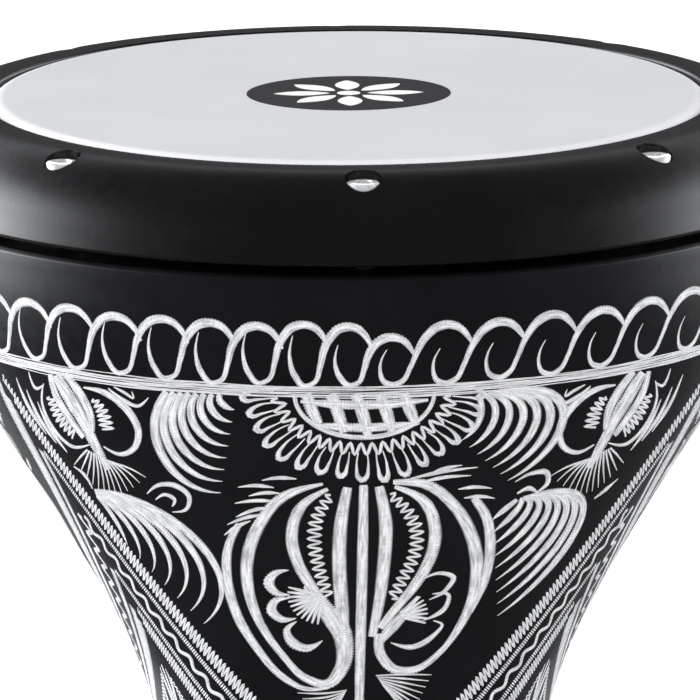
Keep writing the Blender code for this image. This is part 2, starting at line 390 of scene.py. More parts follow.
def peg_cutter(name, radius, low, high):
    """Upright pegs on the bolts' axes."""
    bm = bmesh.new()
    for i in range(1, BOLTS + 1):
        x, y = bolt_axis(i)
        made = bmesh.ops.create_cone(bm, cap_ends=True, segments=40, radius1=radius, radius2=radius,
                                     depth=high - low)
        bmesh.ops.translate(bm, verts=made["verts"], vec=(x, y, (low + high) / 2))
    made = new_object(name, bpy.data.meshes.new(name))
    bm.to_mesh(made.data)
    bm.free()
    return made


def carve(target, cutters):
    """Applies a Boolean for each (object, operation) and removes the cutters."""
    for cutter, operation in cutters:
        step = target.modifiers.new(cutter.name, "BOOLEAN")
        step.operation = operation
        step.object = cutter
    bpy.context.view_layer.update()
    mesh = bpy.data.meshes.new_from_object(target.evaluated_get(bpy.context.evaluated_depsgraph_get()))
    target.modifiers.clear()
    target.data = mesh
    for cutter, _ in cutters:
        bpy.data.objects.remove(cutter)
    soften(mesh)


# -------- shell and its surface

shell_section = outward(section("shell"))
rim_low, rim_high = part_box("rim")
bolt_low, bolt_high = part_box("tuning_bolt_1")
washer_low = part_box("bolt_washer_1")[0]
HOLE_R = 0.0033
HEAD_R = (bolt_high.x - bolt_low.x) / 2
COUNTERBORE_R = HEAD_R + 0.0005
FLANGE_Z = rim_low.z - 0.0035  # top of the shell's flange
FLANGE_DEPTH = 0.012
FOOT_EDGE = 0.003  # the foot's outer face starts at this height
BORE_R = 0.05  # the wall lies outside this radius everywhere
PAINT_DEPTH = 0.0025  # below the flange, anything this far inside the wall is bare metal


def make_shell():
    made = turned("drum_shell", eased(shell_section, True, facet=0.0034), True, SHELL_BLACK)
    carve(made, [(peg_cutter("shell_holes", HOLE_R, rim_low.z - 0.03, rim_low.z), "DIFFERENCE")])
    made.data.materials.append(RAW_CASTING)
    for face in made.data.polygons:
        centre, normal = face.center, face.normal
        inward = normal.x * centre.x + normal.y * centre.y < -1e-5
        depth = wall_radius(centre.z) - math.hypot(centre.x, centre.y)
        below = centre.z < FLANGE_Z - FLANGE_DEPTH and depth > PAINT_DEPTH
        if centre.z > 0.001 and (inward or below):
            face.material_index = 1
    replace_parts(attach(made, "shell"), "shell")


def exact_wall():
    """The outer face's heights and radii, from the CAD section's points that face outward."""
    path = zip(np.roll(shell_section, 1, 0), shell_section, np.roll(shell_section, -1, 0))
    face = [b for a, b, c in path if c[1] > a[1] and b[0] > BORE_R and FOOT_EDGE < b[1] < FLANGE_Z - 0.0001]
    face = np.array(sorted(face, key=lambda p: p[1]))
    return face[:, 1], face[:, 0]


def spline(x, y, fine):
    """A smooth curve through the points (x, y), read at the fine places."""
    slope = np.gradient(y, x)
    i = np.clip(np.searchsorted(x, fine) - 1, 0, len(x) - 2)
    width = x[i + 1] - x[i]
    return hermite((fine - x[i]) / width, y[i], y[i + 1], width * slope[i], width * slope[i + 1])


WALL_Z = np.linspace(0.004, FLANGE_Z - 0.0007, 900)
WALL_R = spline(*exact_wall(), WALL_Z)
WALL_SLOPE = np.gradient(WALL_R, WALL_Z)


def wall_radius(z):
    return np.interp(z, WALL_Z, WALL_R)


def radius_at(drop):
    """The outer face's radius at a drop, both in millimetres."""
    return wall_radius(HEAD_Z - drop * MM) / MM


def on_wall(arc, drop, lift, centre):
    """Points on the shell's outer face, from millimetres round and down, raised by the lift."""
    z = HEAD_Z - drop * MM
    slope = np.interp(z, WALL_Z, WALL_SLOPE)
    angle = centre + arc * MM / wall_radius(z)
    lift = lift * MM / np.sqrt(1 + slope**2)
    r = wall_radius(z) + lift
    return np.stack([r * np.sin(angle), -r * np.cos(angle), z - lift * slope], -1)


# -------- engraving tools

STATION = 0.45  # distance between a stroke's cross-sections
RING_STATIONS = 520  # cross-sections of a line right round the shell
RIDGE = 0.10  # height of a stroke's burr above the paint
ROOT = -0.12  # how far a stroke's underside lies below the paint
RIDGE_SHAPE = ((-1, -0.02, 0), (-0.5, 0, 1), (0.5, 0, 1), (1, -0.02, 0), (0, ROOT, 0))  # across, base, crown
BAND_DROP = 65.0  # the ring line that the panels hang from


def smooth_path(points, step=STATION):
    """Evenly spaced points on a smooth curve through the given ones."""
    p = np.array(points, float)
    if len(p) > 2:
        gap = np.maximum(np.linalg.norm(np.diff(p, axis=0), axis=1), 1e-6)[:, None]
        chord = np.diff(p, axis=0) / gap
        slope = np.empty_like(p)
        slope[1:-1] = (chord[:-1] * gap[1:] + chord[1:] * gap[:-1]) / (gap[1:] + gap[:-1])
        slope[0] = 1.5 * chord[0] - 0.5 * slope[1]
        slope[-1] = 1.5 * chord[-1] - 0.5 * slope[-2]
        dense = []
        for i, g in enumerate(gap[:, 0]):
            t = np.linspace(0, 1, max(3, math.ceil(g / 0.4)), endpoint=False)[:, None]
            dense.append(hermite(t, p[i], p[i + 1], g * slope[i], g * slope[i + 1]))
        p = np.vstack(dense + [p[-1:]])
    return evenly(p, step)


def evenly(p, step=STATION):
    """The same path with its points a step apart."""
    run = np.concatenate([[0], np.cumsum(np.linalg.norm(np.diff(p, axis=0), axis=1))])
    count = max(4, round(run[-1] / step) + 1)
    at = np.linspace(0, run[-1], count)
    return np.stack([np.interp(at, run, p[:, 0]), np.interp(at, run, p[:, 1])], -1)


def bezier(*corners):
    """The even path of the cubic with these four control points."""
    t = np.linspace(0, 1, 60)[:, None]
    weights = (1 - t)**3, 3 * (1 - t)**2 * t, 3 * (1 - t) * t * t, t**3
    return evenly(sum(w * np.array(corner, float) for w, corner in zip(weights, corners)))


def between(low, high, share):
    """The point that lies a share of the way between two."""
    return tuple(a + (b - a) * share for a, b in zip(low, high))


def spread(values, n):
    """The values read at n even places from the first to the last."""
    values = np.atleast_1d(values)
    return np.interp(np.linspace(0, 1, n), np.linspace(0, 1, len(values)), values)


def sideways(path):
    """Unit normals of a path, in the unrolled surface."""
    along = np.gradient(path, axis=0)
    along /= np.maximum(np.linalg.norm(along, axis=1), 1e-9)[:, None]
    return np.stack([-along[:, 1], along[:, 0]], -1)


class Engraving:
    """Strokes of the graver on one stretch of the shell, gathered into one mesh of closed ridges."""

    def __init__(self, name, centre, seed, sector=None, upright=None):
        self.name, self.centre = name, centre
        self.dice = random.Random(seed)
        self.sector = sector  # half the angle that strokes keep inside
        self.upright = upright  # (turning drop, scale down, scale round) of a flipped panel
        self.verts, self.marks, self.faces, self.count = [], [], [], 0

    def place(self, path):
        if self.upright is None:
            return path
        base, down, round_ = self.upright
        return np.stack([path[:, 0] * round_, base - (path[:, 1] - BAND_DROP) * down], -1)

    def runs(self, path):
        """Where a path leaves the sector, it is cut."""
        if self.sector is None:
            return [np.arange(len(path))]
        inside = np.abs(path[:, 0]) / radius_at(path[:, 1]) < self.sector
        breaks = np.flatnonzero(np.diff(inside.astype(int))) + 1
        return [run for run in np.split(np.arange(len(path)), breaks) if inside[run[0]] and len(run) > 3]

    def cut(self, path, widths, hatch=1.0, mirror=False, dense=False):
        """One stroke along a path, as wide as the list says from its start to its end."""
        path = np.array(path, float) if dense else smooth_path(path)
        if mirror:
            path = path * (-1, 1)
        path = self.place(path)
        width = spread(widths, len(path)) * (1 + 0.05 * (self.dice.random() - 0.5))
        for run in self.runs(path):
            self.ridge(path[run], width[run] / 2, hatch)

    def ridge(self, path, half, hatch):
        """One closed ridge. The hatch makes every other cross-section narrower and lower."""
        side = sideways(path)
        n = len(path)
        odd = np.arange(n) % 2
        half = half * (1 - 0.16 * hatch * odd)
        crest = RIDGE * np.minimum(1, half / 0.35) * (1 - 0.75 * hatch * odd)
        crest[[0, -1]] *= 0.3
        rows, marks = [], []
        run = np.arange(n) * np.linalg.norm(path[1] - path[0])
        chance = self.dice.random() * 90
        for across, base, crown in RIDGE_SHAPE:
            p = path + side * (half * across)[:, None]
            rows.append(on_wall(p[:, 0], p[:, 1], base + crown * crest, self.centre))
            marks.append(np.stack([np.full(n, float(across)), run, np.full(n, chance)], -1))
        self.verts.append(np.stack(rows, 1).reshape(-1, 3))
        self.marks.append(np.stack(marks, 1).reshape(-1, 3))
        k = len(RIDGE_SHAPE)
        start, last = self.count, self.count + (n - 1) * k
        for a in range(start, last, k):
            for j in range(k):
                m = (j + 1) % k
                self.faces.append((a + j, a + m, a + k + m, a + k + j))
        self.faces += [tuple(range(start + k - 1, start - 1, -1)), tuple(range(last, last + k))]
        self.count += n * k

    def zigzag(self, path, reach, pitch, width, hatch=0.3, mirror=False, lean=0.0, detail=8):
        """A tight wave along a path. Its reach runs from the first number to the last."""
        base = smooth_path(path, pitch / detail)
        n = len(base)
        wave = np.sin(np.arange(n) * 2 * math.pi / detail) * spread(reach, n)
        normal = sideways(base)
        along = np.stack([normal[:, 1], -normal[:, 0]], -1)
        self.cut(base + (normal + along * lean) * wave[:, None], width, hatch, mirror, dense=True)

    def finish(self):
        verts = np.vstack(self.verts)
        made = mesh_object(self.name, verts.tolist(), self.faces, ENGRAVED, smooth=False)
        bm = bmesh.new()
        bm.from_mesh(made.data)
        bmesh.ops.recalc_face_normals(bm, faces=bm.faces)
        bm.to_mesh(made.data)
        bm.free()
        stroke = made.data.attributes.new("stroke", "FLOAT_VECTOR", "POINT")
        stroke.data.foreach_set("vector", np.vstack(self.marks).ravel())
        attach(made, "shell")


# -------- motifs

LEAF = [2.6, 3.1, 3.5, 3.2, 2.0, 0.3]
COMMA = [0.4, 2.8, 4.2, 3.0, 0.4]
SCRATCH = [0.4, 0.9, 0.35]
PETALS = 17  # round the medallion
PETAL_LOOP = ((-0.75, 0), (-1, 0.55), (-0.6, 0.92), (0, 1), (0.6, 0.92), (1, 0.55), (0.75, 0))
RAYS = 13  # under each bird


def fan(cut, outer, inner, count, widths, mirror=False):
    """Crescents side by side, from the inner one's four control points to the outer one's."""
    for i in range(count):
        share = i / (count - 1)
        corners = [between(a, b, share) for a, b in zip(inner, outer)]
        scale = 0.75 + 0.35 * share
        cut.cut(bezier(*corners), [w * scale for w in widths], mirror=mirror, dense=True)


def strokes(cut, rows):
    """Strokes from rows of widths and points."""
    for widths, *points in rows:
        cut.cut(points, widths)


def medallion(cut):
    """The half disc under the ring line: a basket weave, a zigzag edge and a ring of petals."""
    for drop, half in ((69.6, 19.0), (77.4, 15.5)):
        cut.cut([(-half, drop - 0.8), (0, drop + 0.3), (half, drop - 0.8)], [1.2, 3.4, 3.6, 3.4, 1.2])
    for x in (-15.5, -8.2, -1.0, 6.2, 13.4):
        foot = 80.6 - 0.018 * x * x
        cut.cut([(x - 1.8, 66.2), (x + 0.5, 73), (x + 2.2, foot)], [3.8, 4.4, 4.2, 3.0])
    arch = [(20.8 * math.cos(a), 66.5 + 14.6 * math.sin(a)) for a in np.linspace(math.pi, 0, 15)]
    cut.cut(arch, [1.4, 2.0, 2.0, 2.0, 1.4])
    rim = [(26.0 * math.cos(a), 66.0 + 19.2 * math.sin(a)) for a in np.linspace(3.05, 0.09, 17)]
    cut.zigzag(rim, 2.0, 3.4, 1.15)
    for i in range(PETALS):
        a = math.pi * (0.975 - 0.95 * i / (PETALS - 1))
        out = np.array([math.cos(a), math.sin(a)])
        side = np.array([-out[1], out[0]])
        root = np.array([-0.3, 65.0]) + out * (26.8, 21.4)
        length = 9.8 + 0.9 * math.sin(5.1 * i)
        wide = 1.55 + 0.2 * math.sin(3.3 * i)
        lean = side * (0.8 * math.cos(a))
        loop = [root + side * wide * across + out * length * up + lean * (up > 0.9)
                for across, up in PETAL_LOOP]
        cut.cut(loop, [0.5, 0.7, 1.3, 2.5, 1.3, 0.7, 0.5])


def upper_fans(cut):
    fan(cut, ((-60.5, 68.2), (-72, 83), (-60, 104), (-43.5, 102.5)),
        ((-43.5, 67.6), (-44.5, 69.5), (-42.5, 72), (-39, 72.5)), 8, LEAF)
    fan(cut, ((44, 67.5), (72, 67), (66, 90), (45, 99.5)),
        ((34, 68), (37, 72), (35.5, 80), (29.5, 83.5)), 7, LEAF)


def bird(cut, mirror=False, shift=0.0):
    """The slanting bloom between the fan and the border: a long blade with two combed wings."""
    def stroke(widths, *points, hatch=1.0):
        cut.cut([(x + shift, d) for x, d in points], widths, hatch, mirror)

    def comb(reach, *points):
        cut.zigzag([(x + shift, d) for x, d in points], reach, 1.9, 0.9, mirror=mirror)

    stroke([4.6, 6.4, 7.0, 5.6, 5.4, 4.8, 2.6],
           (-101.5, 68), (-97.5, 74), (-92.5, 82), (-88.5, 90), (-83.5, 99.5))
    stroke([3.0, 4.4, 4.2, 2.4], (-97.5, 67), (-92.5, 72.5), (-89, 79), (-88.4, 86))
    stroke([2.6, 4.2, 4.4, 2.8], (-104, 68), (-102.6, 75), (-98.5, 82), (-92.5, 89))
    comb([1.6, 2.6, 2.0], (-105.5, 76.5), (-102, 84), (-96.5, 89))
    stroke([0.5, 1.6, 2.2, 1.8, 0.6], (-107.5, 72), (-109.5, 80), (-106, 88.5), (-98.5, 93.5), (-90.5, 91.5))
    comb([1.2, 2.6, 2.8], (-86.8, 74), (-83.5, 79), (-82.5, 84.5))
    stroke([0.8, 2.6, 3.6, 3.4, 2.8, 2.0, 0.8], (-90.5, 70.5), (-82, 71.3), (-74.5, 76), (-70.8, 83.5),
           (-72.6, 89.6), (-78, 92.8), (-84.5, 91))
    stroke([0.6, 1.7, 1.5, 0.4], (-81, 69.4), (-76, 72.6), (-70.5, 74.2), (-66.8, 70.8))
    stroke([0.5, 1.3, 1.2, 0.4], (-79, 68.6), (-75, 70.2), (-72, 71.6), (-72.6, 69.4))
    stroke([0.6, 1.8, 0.5], (-114, 69), (-111.5, 74.5), (-107.5, 72.5))
    for i in range(RAYS):
        share = i / (RAYS - 1)
        tip = (-99 + 30 * share, 96 + 13 * math.sin(math.pi * (0.12 + 0.78 * share)))
        root = (-91.5 + 10.5 * share, 93.5 + 3.0 * share)
        bend = between(root, tip, 0.5)
        stroke([0.9, 0.8, 0.35], root, (bend[0] + 0.5, bend[1] - 0.6), tip, hatch=0.2)
    for x, d, length in ((-120, 72.5, 19), (-115.5, 76, 18), (-110.8, 79.5, 17)):
        stroke([0.5, 2.2, 2.6, 0.5], (x - 1, d), (x + 2.5, d + length * 0.5), (x + 9.5, d + length))


def lower_fans(cut):
    fan(cut, ((-91, 109.6), (-62, 103), (-29, 133), (-50.5, 152)),
        ((-90.5, 111), (-86, 114), (-80, 123), (-79.5, 128)), 7, LEAF)
    fan(cut, ((57, 106.2), (86, 105), (78, 130), (44.5, 149.5)),
        ((48.5, 107), (47, 108.5), (43, 111), (40.5, 113.5)), 9, LEAF)
    strokes(cut, (
        ([0.4, 1.6, 2.4, 2.2, 1.5, 0.4], (-69, 106.2), (-64.5, 102.2), (-58.5, 101.6), (-54, 105),
         (-55, 109.8), (-60, 111.6)),
        ([0.4, 1.5, 2.0, 0.6], (-66, 108), (-62, 105.4), (-59, 107), (-60, 109.6)),
        ([0.4, 1.5, 2.4, 2.2, 0.5], (47.5, 100.4), (53, 98), (58.5, 98.6), (59.2, 102), (55, 105.4)),
        ([0.8, 2.4, 0.6], (48.5, 104.8), (52.5, 103.4), (56, 106)),
        ([0.5, 2.2, 0.8], (-99.5, 101.5), (-94.5, 104), (-92, 108.5)),
        ([0.8, 2.2, 0.4], (79, 112), (84, 109.5), (89, 106.5))))


def bloom(cut):
    """The tall middle motif: a stem, two inner petals with zigzags and two great loops."""
    strokes(cut, (
        ([3.2, 4.0, 4.0, 3.9, 3.4], (0.2, 98), (0.3, 120), (0.2, 150), (0, 178)),
        ([3.4, 4.6, 5.0, 5.0, 4.8, 3.0], (-4.6, 98.8), (-6.4, 112), (-6.6, 128), (-5.6, 143), (-4.6, 156)),
        ([3.4, 4.8, 4.8, 4.2, 3.0], (4.8, 98.6), (7.0, 111), (6.8, 126), (5.4, 142), (3.6, 153))))
    left = ((-10.5, 99.4), (-18.4, 106), (-21.2, 117), (-18.6, 128), (-13.6, 137), (-9.2, 144), (-6, 151))
    left_wave = ((-9.6, 101.6), (-13.6, 110), (-14.2, 120), (-12.6, 129), (-9.8, 138.5))
    right = ((-9.5, 98.8), (-18.6, 104.6), (-22.2, 114.5), (-21.4, 124), (-17, 134), (-11, 142.6), (-6, 150))
    right_wave = ((-8.2, 101.6), (-13.6, 108), (-16.6, 116), (-16.0, 124), (-12.6, 132.5), (-9.4, 139.5))
    for mirror, petal, wave in ((False, left, left_wave), (True, right, right_wave)):
        cut.cut(petal, [1.6, 4.2, 4.6, 4.4, 3.6, 2.8], mirror=mirror)
        cut.zigzag(wave, [1.4, 2.1, 1.9, 1.7], 2.7, 0.95, mirror=mirror)
    strokes(cut, (
        ([1.2, 3.8, 4.6, 4.9, 4.8, 4.2, 3.2, 2.8, 3.6, 5.6, 7.2, 5.0], (-12, 97.6), (-24.6, 103.2),
         (-31.4, 113.5), (-35, 126), (-34.6, 138), (-30.6, 150), (-24, 160), (-16, 168.4), (-9.8, 170),
         (-5.4, 164), (-4.6, 156), (-7.2, 147.5), (-11.2, 141.5)),
        ([2.6, 3.8, 4.4, 4.2, 3.4, 2.8, 1.0], (-37.6, 113.4), (-41, 121.5), (-41.8, 133), (-38.6, 147),
         (-32, 158.6), (-24.4, 167.6), (-17, 171.8), (-9.6, 171.4)),
        ([2.2, 4.2, 4.4, 5.0, 5.4, 5.0, 3.8, 2.6, 3.0, 4.0, 3.8], (9, 97.2), (19.6, 98.8), (27.6, 106.4),
         (33.4, 117), (36.2, 130), (35.2, 141.6), (31, 152), (24.6, 160.6), (17, 165.6), (10.6, 165),
         (6.4, 159.5), (5.8, 152)),
        ([3.4, 4.2, 4.6, 3.8, 1.0], (34.2, 104.6), (38.6, 112.4), (40.4, 124), (39.2, 135), (35, 147)),
        # six crescents inside the great loops
        (COMMA, (-22, 129.2), (-26.4, 130.8), (-28.2, 134.4), (-26, 137.6), (-21.6, 138.2)),
        (COMMA, (-21.6, 139.4), (-26.2, 140.8), (-27.4, 144), (-24.4, 147.2), (-19.6, 146.6)),
        (COMMA, (-19.4, 147.8), (-22.4, 151), (-21, 155.2), (-16.6, 157.4), (-11.4, 154.4)),
        ([0.6, 1.5, 2.2, 1.8, 0.4], (18.8, 132.8), (24.6, 131.2), (28.6, 133.2), (26.4, 137.4), (21, 140.6)),
        ([0.5, 1.8, 2.2, 0.4], (22, 138.6), (27.2, 139.4), (26.6, 143.4), (19.2, 148)),
        ([0.5, 1.6, 2.6, 2.2, 0.4], (22.6, 148.4), (25.4, 150), (22.6, 154), (16, 157.4), (9.4, 155.4))))
    combs(cut)


def combs(cut):
    """Half rosettes with comb teeth, inside the crescents."""
    for centre, first, last, reach, teeth in (
            ((-11.8, 138.0), 166, 264, 9.6, 11), ((11.6, 145.6), -22, 44, 8.2, 7)):
        for i in range(teeth):
            a = math.radians(first + (last - first) * i / (teeth - 1))
            out = np.array([math.cos(a), -math.sin(a)])
            start = np.array(centre) + out
            cut.cut([start, start + out * reach * 0.5, start + out * reach], [1.7, 1.5, 1.2, 0.7], 0.4)
    cut.cut([(-16.5, 134.5), (-13.5, 139), (-9, 146), (-6, 153)], [3.0, 6.0, 6.6, 6.0, 4.0])
    cut.cut([(17.5, 139), (13.5, 145), (9.2, 150.5), (6, 155)], [0.8, 3.6, 4.6, 3.0])


def sprays(cut):
    """Thin scratched rays round the middle motif."""
    rays = ((-20, 96, -30.5, 97), (-26.8, 99.4, -38, 100), (-25, 101.4, -34.6, 103), (-26, 104.4, -39, 106),
            (-28, 106.6, -38.6, 111), (-30, 109.4, -41.4, 114), (-34, 112, -42.4, 118), (14, 96.2, 35, 93.6),
            (17.4, 97.6, 33, 96.4), (29, 101, 39.8, 101.8), (31, 104.4, 41, 105.6), (20, 95, 30, 92.4))
    for x, d, tip_x, tip_d in rays:
        middle = ((x + tip_x) / 2, (d + tip_d) / 2 - 0.7)
        cut.cut([(x, d), middle, (tip_x, tip_d)], [0.5, 1.6, 1.3, 0.35], 0.4)
    for i in range(9):
        cut.cut([(5 + i * 0.3, 167 + i * 0.5), (12, 167 + i * 1.3), (22.5 - i * 0.9, 168 + i * 2.1)],
                SCRATCH, 0.2)
        cut.cut([(-3.8 - i * 0.2, 172 + i * 0.4), (-8.5, 173 + i * 1.2), (-19 + i * 1.5, 173.5 + i * 2.0)],
                SCRATCH, 0.2)


def apex(cut):
    """Leaves that fill the panel's point on the neck."""
    cut.cut([(0, 176), (0, 200), (0, 219)], [3.2, 2.8, 0.6])
    for side in (False, True):
        cut.cut([(-2.5, 203), (-9.5, 196), (-14.6, 187), (-13.6, 181)], [0.8, 3.0, 3.2, 0.8], mirror=side)
        cut.cut([(-2.2, 211), (-6.8, 205.6), (-10.6, 199), (-10.6, 194)], [0.8, 2.4, 2.6, 0.6], mirror=side)
        cut.cut([(-2.0, 195), (-7, 188.4), (-8.4, 181.5)], [0.8, 2.4, 0.6], mirror=side)


def border_line(drops):
    """The middle of the border's inner zigzag, on the panel's left side."""
    return [(-(40 + (172 - d) * (0.967 + 0.0008 * (d - 130))), d) for d in drops]


def shifted(path, distance):
    """A path moved sideways in the unrolled surface, away from the panel's middle line."""
    base = smooth_path(path, 1.2)
    normal = sideways(base)
    if np.mean(normal[:, 0]) > 0:
        normal = -normal
    return base + normal * distance


def border(cut):
    """Both slanting borders: zigzag, rope, wave, rope, zigzag, from the inside out."""
    line = border_line(range(67, 216, 6))
    for mirror in (False, True):
        cut.zigzag(line, 2.3, 1.85, 0.85, 0.2, mirror, lean=0.35)
        cut.cut(shifted(line, 4.6), 2.3, 2.2, mirror=mirror)
        cut.zigzag(shifted(line, 8.8), 1.0, 8.6, 1.7, 0.5, mirror, detail=18)
        cut.cut(shifted(line, 12.8), 2.3, 2.2, mirror=mirror)
        cut.zigzag(shifted(line, 16.6), 1.9, 1.25, 0.62, 0.2, mirror, lean=0.35)


def gore(cut):
    """The dark wedge between two panels: nested leaves on a stem, with zigzag edges."""
    cut.cut([(0, 172), (0, 195), (0, 214)], [0.8, 2.2, 2.6, 2.0])
    for side in (False, True):
        for i in range(6):
            top, low = 173 + i * 7.0, 187 + i * 6.2
            out = 2.0 + i * 2.7
            cut.cut([(-1.4, low), (-out * 0.75, low - 4), (-out, top + 5), (-out * 0.82, top)],
                    [0.7, 1.8, 1.8, 0.4], mirror=side)
        cut.zigzag([(-2.6, 176), (-9, 188), (-19, 202), (-27, 214)], [0.6, 1.5], 1.5, 0.6, 0.2, side)


def draw_panel(cut):
    """What the bowl's and the foot's panels share."""
    medallion(cut)
    upper_fans(cut)
    bird(cut)
    bird(cut, mirror=True, shift=9.0)
    lower_fans(cut)
    bloom(cut)


# -------- rings round the shell

NARROW_SCROLL = ((-3.4, -16.5), (-4.3, -10), (-2.8, -3.6), (0, 0), (2.8, -1.2), (4.6, -7), (5.6, -12),
                 (7.3, -16), (9.6, -18.6), (12.8, -19.5), (15.6, -18.6), (18.2, -15.4), (19.4, -12.4))
WIDE_SCROLL = ((-1.6, -11.6), (-3.3, -8), (-3.6, -4.6), (-2.4, -1.2), (0.6, 0), (3.6, -1.6), (5.6, -5.6),
               (8.2, -12), (10.4, -15.6), (13.4, -18.1), (16.8, -19), (20.4, -18), (23, -15.4), (24.8, -12.4))
SCROLL_START = 8.0  # where the two kinds of scroll meet at the front
SCROLL_WIDTHS = [0.35, 0.8, 1.4, 2.2, 2.2, 1.8, 1.8, 2.2, 2.8, 3.2, 3.2, 2.8, 2.2, 1.0]
SCROLL_DROP = 62.8
FOOT_SCROLL_DROP = 428.0
FOOT_RING_DROP = 408.0


def spacings(first, growth, widest, total):
    """Steps that grow from the first one up to the widest, and add up to the total."""
    steps = [first]
    while sum(steps) < total:
        steps.append(min(steps[-1] * growth, widest))
    return [step * total / sum(steps) for step in steps]


def scroll_ring(cut, drop, scale):
    """A chain of running scrolls: narrow and upright on one half, wide and slanting on the other."""
    radius = radius_at(drop - 10 * scale)
    half = math.pi * radius
    for shape, pitch, steps, way in (
            (WIDE_SCROLL, 16.3, spacings(16.6 * scale, 1.03, 19.5 * scale, half), 1),
            (NARROW_SCROLL, 12.9, spacings(13.2 * scale, 1.045, 17.5 * scale, half), -1)):
        at = SCROLL_START
        for i, step in enumerate(steps):
            low = 0.4 * math.sin(2.4 * i) + sag(at / radius)
            squeeze = 0.8 if way < 0 and i == 0 else 1.0
            start = at if way > 0 else at - step
            points = [(start + x * step / pitch, drop + (d * squeeze + low) * scale) for x, d in shape]
            cut.cut(points, [w * scale for w in SCROLL_WIDTHS])
            at += way * step


def sag(angle):
    """How much lower the upper rings were cut on the drum's left than on its right."""
    return 0.9 - 0.9 * np.sin(angle + 0.35)


def ring_line(cut, drop, width, lines, seed):
    """A ring scratched over and over, so its lines wander and cross."""
    dice = random.Random(seed)
    for i in range(lines):
        phase, waves = dice.random() * 6.28, dice.choice((3, 4, 5, 7))
        level = drop + (i / (lines - 1) - 0.5) * width
        around = np.linspace(0, 2 * math.pi, RING_STATIONS)
        wander = level + 0.28 * np.sin(waves * around + phase) + 0.12 * np.sin(23 * around + 2 * phase)
        wander += sag(around)
        thick = 0.46 + 0.18 * np.sin(11 * around + phase)
        cut.cut(np.stack([around * radius_at(wander), wander], -1), thick, 0.3, dense=True)


def ring_zigzag(cut, drop, reach, pitch, width):
    count = round(2 * math.pi * radius_at(drop) / pitch)
    around = np.linspace(0, 2 * math.pi, count * 6 + 1)
    level = drop + reach * np.sin(around * count)
    cut.cut(np.stack([around * radius_at(level), level], -1), width, 0.2, dense=True)


def engrave(name, motifs, *where):
    """One mesh of strokes from motifs that are drawn one after the other."""
    cut = Engraving(name, *where)
    for motif in motifs:
        motif(cut)
    cut.finish()


def ring_lines(cut):
    """The rings at the band, round the neck, over the foot's scrolls and at its edge."""
    ring_line(cut, BAND_DROP, 3.5, 11, 31)
    for drop in (222.0, 236.0):
        ring_line(cut, drop, 1.8, 5, 32)
    ring_zigzag(cut, 229.0, 4.2, 3.4, 1.0)
    ring_line(cut, FOOT_RING_DROP, 2.4, 7, 33)
    ring_line(cut, 431.5, 1.6, 4, 34)


def engrave_rings():
    engrave("engraved_scroll_ring", [lambda cut: scroll_ring(cut, SCROLL_DROP, 1.0)], 0.0, 11)
    engrave("engraved_ring_lines", [ring_lines], 0.0, 12)
    engrave("engraved_foot_scroll_ring", [lambda cut: scroll_ring(cut, FOOT_SCROLL_DROP, 0.82)], 0.0, 13)


def engrave_panels():
    """Three panels round the bowl, the borders and wedges between them, and the foot's panels."""
    turn = 2 * math.pi / PANELS
    for i in range(PANELS):
        centre, number = i * turn, i + 1
        engrave(f"engraved_panel_{number}", [draw_panel, sprays, apex], centre, 20 + i)
        engrave(f"engraved_border_{number}", [border], centre, 30 + i, turn / 2 - 0.008)
        engrave(f"engraved_wedge_{number}", [gore], centre + turn / 2, 40 + i)
        engrave(f"engraved_foot_{number}", [draw_panel, border], centre, 50 + i, turn / 2 - 0.01,
                (FOOT_RING_DROP, 1.02, 0.72))


# -------- head, rim and fasteners

def make_head():
    skin = section("drum_head")
    skin = np.vstack([(0, skin[0, 1]), skin, (0, skin[-1, 1])])
    film = turned("head_film", eased(skin, False, 0.0002, 0.0006), False, FILM)
    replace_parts(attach(film, "head"), "drum_head")
    hoop = turned("head_hoop_ring", eased(section("head_hoop"), True, 0.0003), True, HOOP_METAL)
    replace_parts(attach(hoop, "head"), "head_hoop")


BOSS_R, BOSS_COVER = 0.008, 0.0073  # the bosses' radius, and how far they end below the rim's top
WASHER_GAP = 0.0003
OVERSHOOT = 0.004  # how far a cutter runs past its target


def make_rim():
    made = turned("safety_rim", eased(section("rim"), True, 0.0005, 0.0012), True, RIM_BLACK)
    top = rim_high.z + OVERSHOOT
    bosses = peg_cutter("bosses", BOSS_R, rim_low.z, rim_high.z - BOSS_COVER)
    counterbores = peg_cutter("counterbores", COUNTERBORE_R, washer_low.z - WASHER_GAP, top)
    holes = peg_cutter("holes", HOLE_R, rim_low.z - OVERSHOOT, top)
    carve(made, [(bosses, "UNION"), (counterbores, "DIFFERENCE"), (holes, "DIFFERENCE")])
    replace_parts(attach(made, "rim"), "rim")


HEAD_TALL = 0.006  # height of a screw's head
HEAD_SIDE = [(0.0048, 0.0), (0.005, 0.0002), (0.005, 0.0052), (0.00495, 0.0056), (0.0046, 0.0059),
             (0.0042, 0.006), (0.0034, 0.006)]
SOCKET = ((1.06, 0.006), (1.0, 0.0057), (1.0, 0.003), (0.15, 0.0024))  # the hex socket's scale and height
SOCKET_CORNER = 0.005 / math.sqrt(3)  # 5 mm across the flats
SCREW_SIDES = 32
PITCH, THREAD_R, THREAD_DEPTH, THREAD_ROWS = 0.001, 0.003, 0.00055, 6
TIP_R, TIP_BEVEL = 0.0022, 0.0006
WASHER_R, WASHER_THICK = 0.005, 0.001


